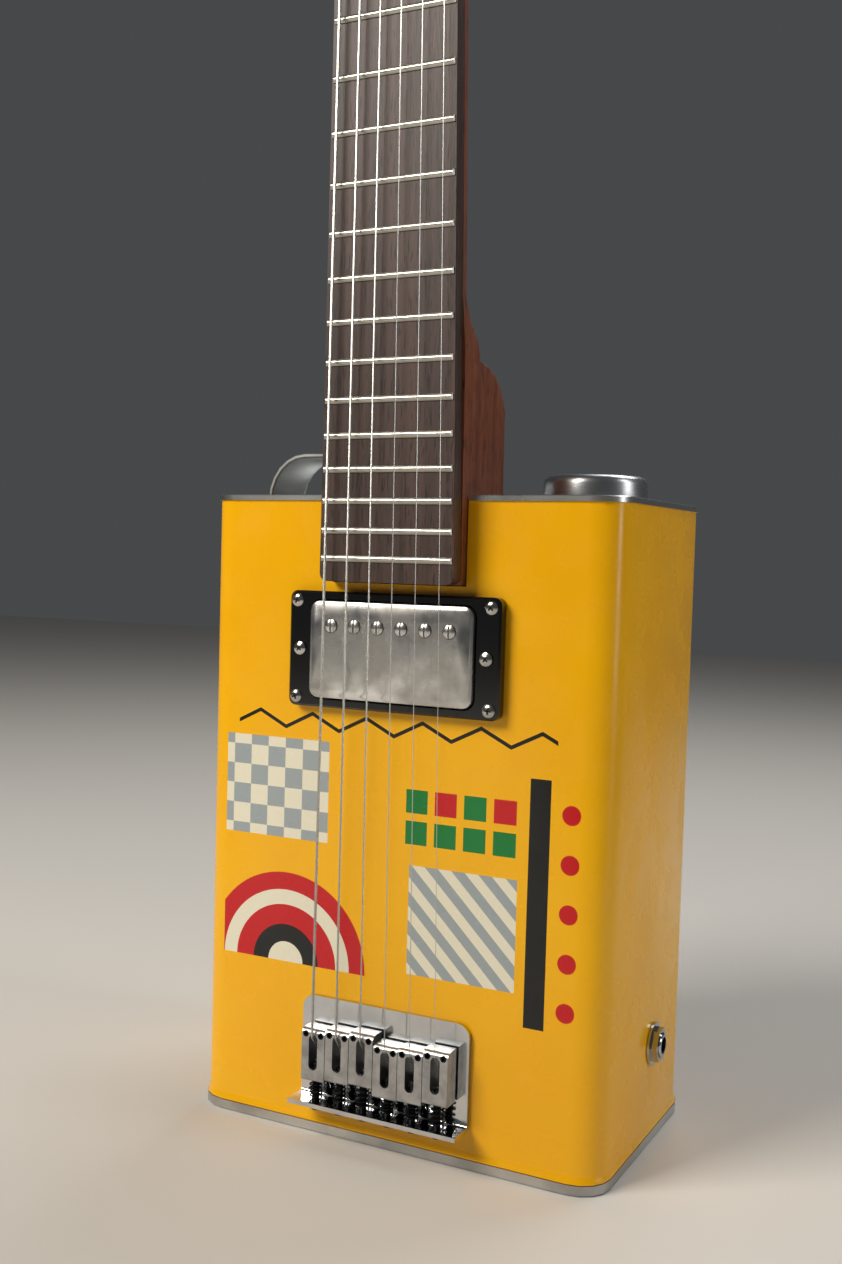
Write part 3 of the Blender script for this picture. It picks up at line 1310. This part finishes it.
# Output jack and the lead to it


def make_jack(jack_look, nut_look):
    """The socket behind the can's side wall, and the nut and washer that hold it there."""
    inside = JACK_WALL_X - TIN - GAP
    mouth = JACK_WALL_X + JACK_STAND
    rear = inside - JACK_BODY_LENGTH
    profile = [
        (JACK_BODY_RADIUS * 0.6, rear),
        (JACK_BODY_RADIUS * 0.6, rear + 0.004),
        (JACK_BODY_RADIUS, rear + 0.004),
        (JACK_BODY_RADIUS, inside),
        (JACK_BARREL, inside),
        (JACK_BARREL, mouth - 0.0004),
        (JACK_BARREL - 0.0004, mouth),
        (JACK_BORE, mouth),
        (JACK_BORE, mouth - JACK_BORE_DEPTH),
    ]
    bm = bmesh.new()
    turned(bm, profile, "X", (JACK_Y, JACK_Z), 20)
    add("jack", bm, jack_look)

    wall = JACK_WALL_X + GAP
    hole = JACK_BARREL + GAP
    washer = [(hole, wall), (JACK_WASHER_RADIUS, wall), (JACK_WASHER_RADIUS, wall + JACK_WASHER_THICKNESS), (hole, wall + JACK_WASHER_THICKNESS)]
    bm = bmesh.new()
    turned(bm, washer, "X", (JACK_Y, JACK_Z), 20, hollow=True)
    nut = add("jack_nut", bm, nut_look)
    low = wall + JACK_WASHER_THICKNESS / 2
    bm = bmesh.new()
    prism(bm, circle(JACK_NUT_RADIUS, 6, (JACK_Y, JACK_Z)), "X", low, wall + JACK_WASHER_THICKNESS + JACK_NUT_THICKNESS)
    fuse(nut, "hexagon", bm)
    bm = bmesh.new()
    rod(bm, hole, "X", (JACK_Y, JACK_Z), wall - 0.002, wall + 0.010, 20)
    cut(nut, "bore", bm)


def make_pickup_lead(material):
    """The lead from the pickup's cavity, out of the block's side and down to the jack."""
    y, z = front(LEAD_HOLE_IN_FRONT), PICKUP_Z - LEAD_HOLE_BELOW
    rear = JACK_WALL_X - TIN - GAP - JACK_BODY_LENGTH
    block = BLOCK_WIDTH / 2
    route = [
        (block - 0.012, y, z),
        (block - 0.002, y, z),
        (block + 0.006, y, z - 0.001),
        (block + 0.013, y + 0.003, z - 0.008),
        (block + 0.017, y + 0.008, z - 0.025),
        (block + 0.016, y + 0.018, z - 0.055),
        (block + 0.012, y + 0.028, z - 0.090),
        (block + 0.006, y + 0.036, z - 0.118),
        (block + 0.001, y + 0.041, z - 0.133),
        (block - 0.001, y + 0.0435, JACK_Z + 0.004),
        (block + 0.003, JACK_Y, JACK_Z),
        (rear - GAP, JACK_Y, JACK_Z),
    ]
    wire("pickup_lead", smooth_route(route, 4), LEAD_RADIUS, material, 2)


def smooth_route(route, per_stretch):
    """Points along a smooth curve through the route's own points."""
    ends = [Vector(point) for point in route]
    ends = [2 * ends[0] - ends[1]] + ends + [2 * ends[-1] - ends[-2]]
    points = []
    for a, b, c, d in zip(ends, ends[1:], ends[2:], ends[3:]):
        for step in range(per_stretch):
            t = step / per_stretch
            points.append(
                b
                + (c - a) * (t / 2)
                + (2 * a - 5 * b + 4 * c - d) * (t * t / 2)
                + (3 * b - a - 3 * c + d) * (t * t * t / 2)
            )
    return points + [ends[-2]]


def main():
    for obj in list(bpy.data.objects):
        bpy.data.objects.remove(obj, do_unlink=True)

    yellow = look("yellow_enamel", "F2B200", 0.22, 0.0)
    tinplate = look("tinplate", "A9A9A6", 0.35, 1.0)
    cap_metal = look("cap_metal", "B9BBBD", 0.32, 1.0)
    cork = look("liner", "D8CDB4", 0.8, 0.0)
    mahogany = look("mahogany", "6B3A22", 0.5, 0.0)
    rosewood = look("rosewood", "4A332B", 0.55, 0.0)
    pine = look("pine", "C79B62", 0.7, 0.0)
    bone = look("bone", "E8E1CE", 0.4, 0.0)
    steel = look("steel", "8D8F92", 0.35, 1.0)
    chrome = look("chrome", "C9CBCE", 0.12, 1.0)
    black_metal = look("black_metal", "1B1B1D", 0.35, 1.0)
    black_plastic = look("black_plastic", "0E0E10", 0.18, 0.0)
    nickel = look("aged_nickel", "A8A49C", 0.38, 1.0)
    cast = look("cast_zinc", "A9AAAB", 0.42, 1.0)
    string_metal = look("string_metal", "B9B9B6", 0.3, 1.0)
    black_rubber = look("black_rubber", "141414", 0.6, 0.0)

    make_can_body(yellow)
    make_can_top(tinplate)
    make_can_bottom(tinplate)
    make_handle(tinplate)
    make_spout(tinplate)
    make_cap(cap_metal, cork)
    make_block(pine)
    make_neck_plate(chrome)

    neck_frame = frame_empty("neck_frame", NECK_FRAME)
    make_neck(neck_frame, mahogany)
    make_fretboard(neck_frame, rosewood)
    make_nut(neck_frame, bone)
    make_truss_rod(neck_frame, steel)

    head_frame = frame_empty("head_frame", HEAD_FRAME)
    make_tuner_plate(head_frame, nickel, -1, "tuner_plate_bass")
    make_tuner_plate(head_frame, nickel, 1, "tuner_plate_treble")
    for number, (side, x, h) in enumerate(post_places(), 1):
        make_tuner_post(head_frame, nickel, number, x, h)
        make_tuner_button(head_frame, nickel, number, side, x, h)
    make_strings(string_metal)

    pickup_frame = frame_empty("pickup_frame", Matrix.Translation((0, FACE_Y, PICKUP_Z)))
    make_pickup_ring(black_plastic)
    make_pickup_cover(pickup_frame, nickel)
    make_pickup_body(pickup_frame, steel)
    for number, side in enumerate((-1, 1), 1):
        make_height_screw(chrome, number, side)

    make_bridge_plate(chrome)
    for i in range(6):
        make_saddle(cast, i)
        make_intonation_screw(black_metal, i)
        make_intonation_spring(black_metal, i)

    make_jack(chrome, chrome)
    make_pickup_lead(black_rubber)


main()
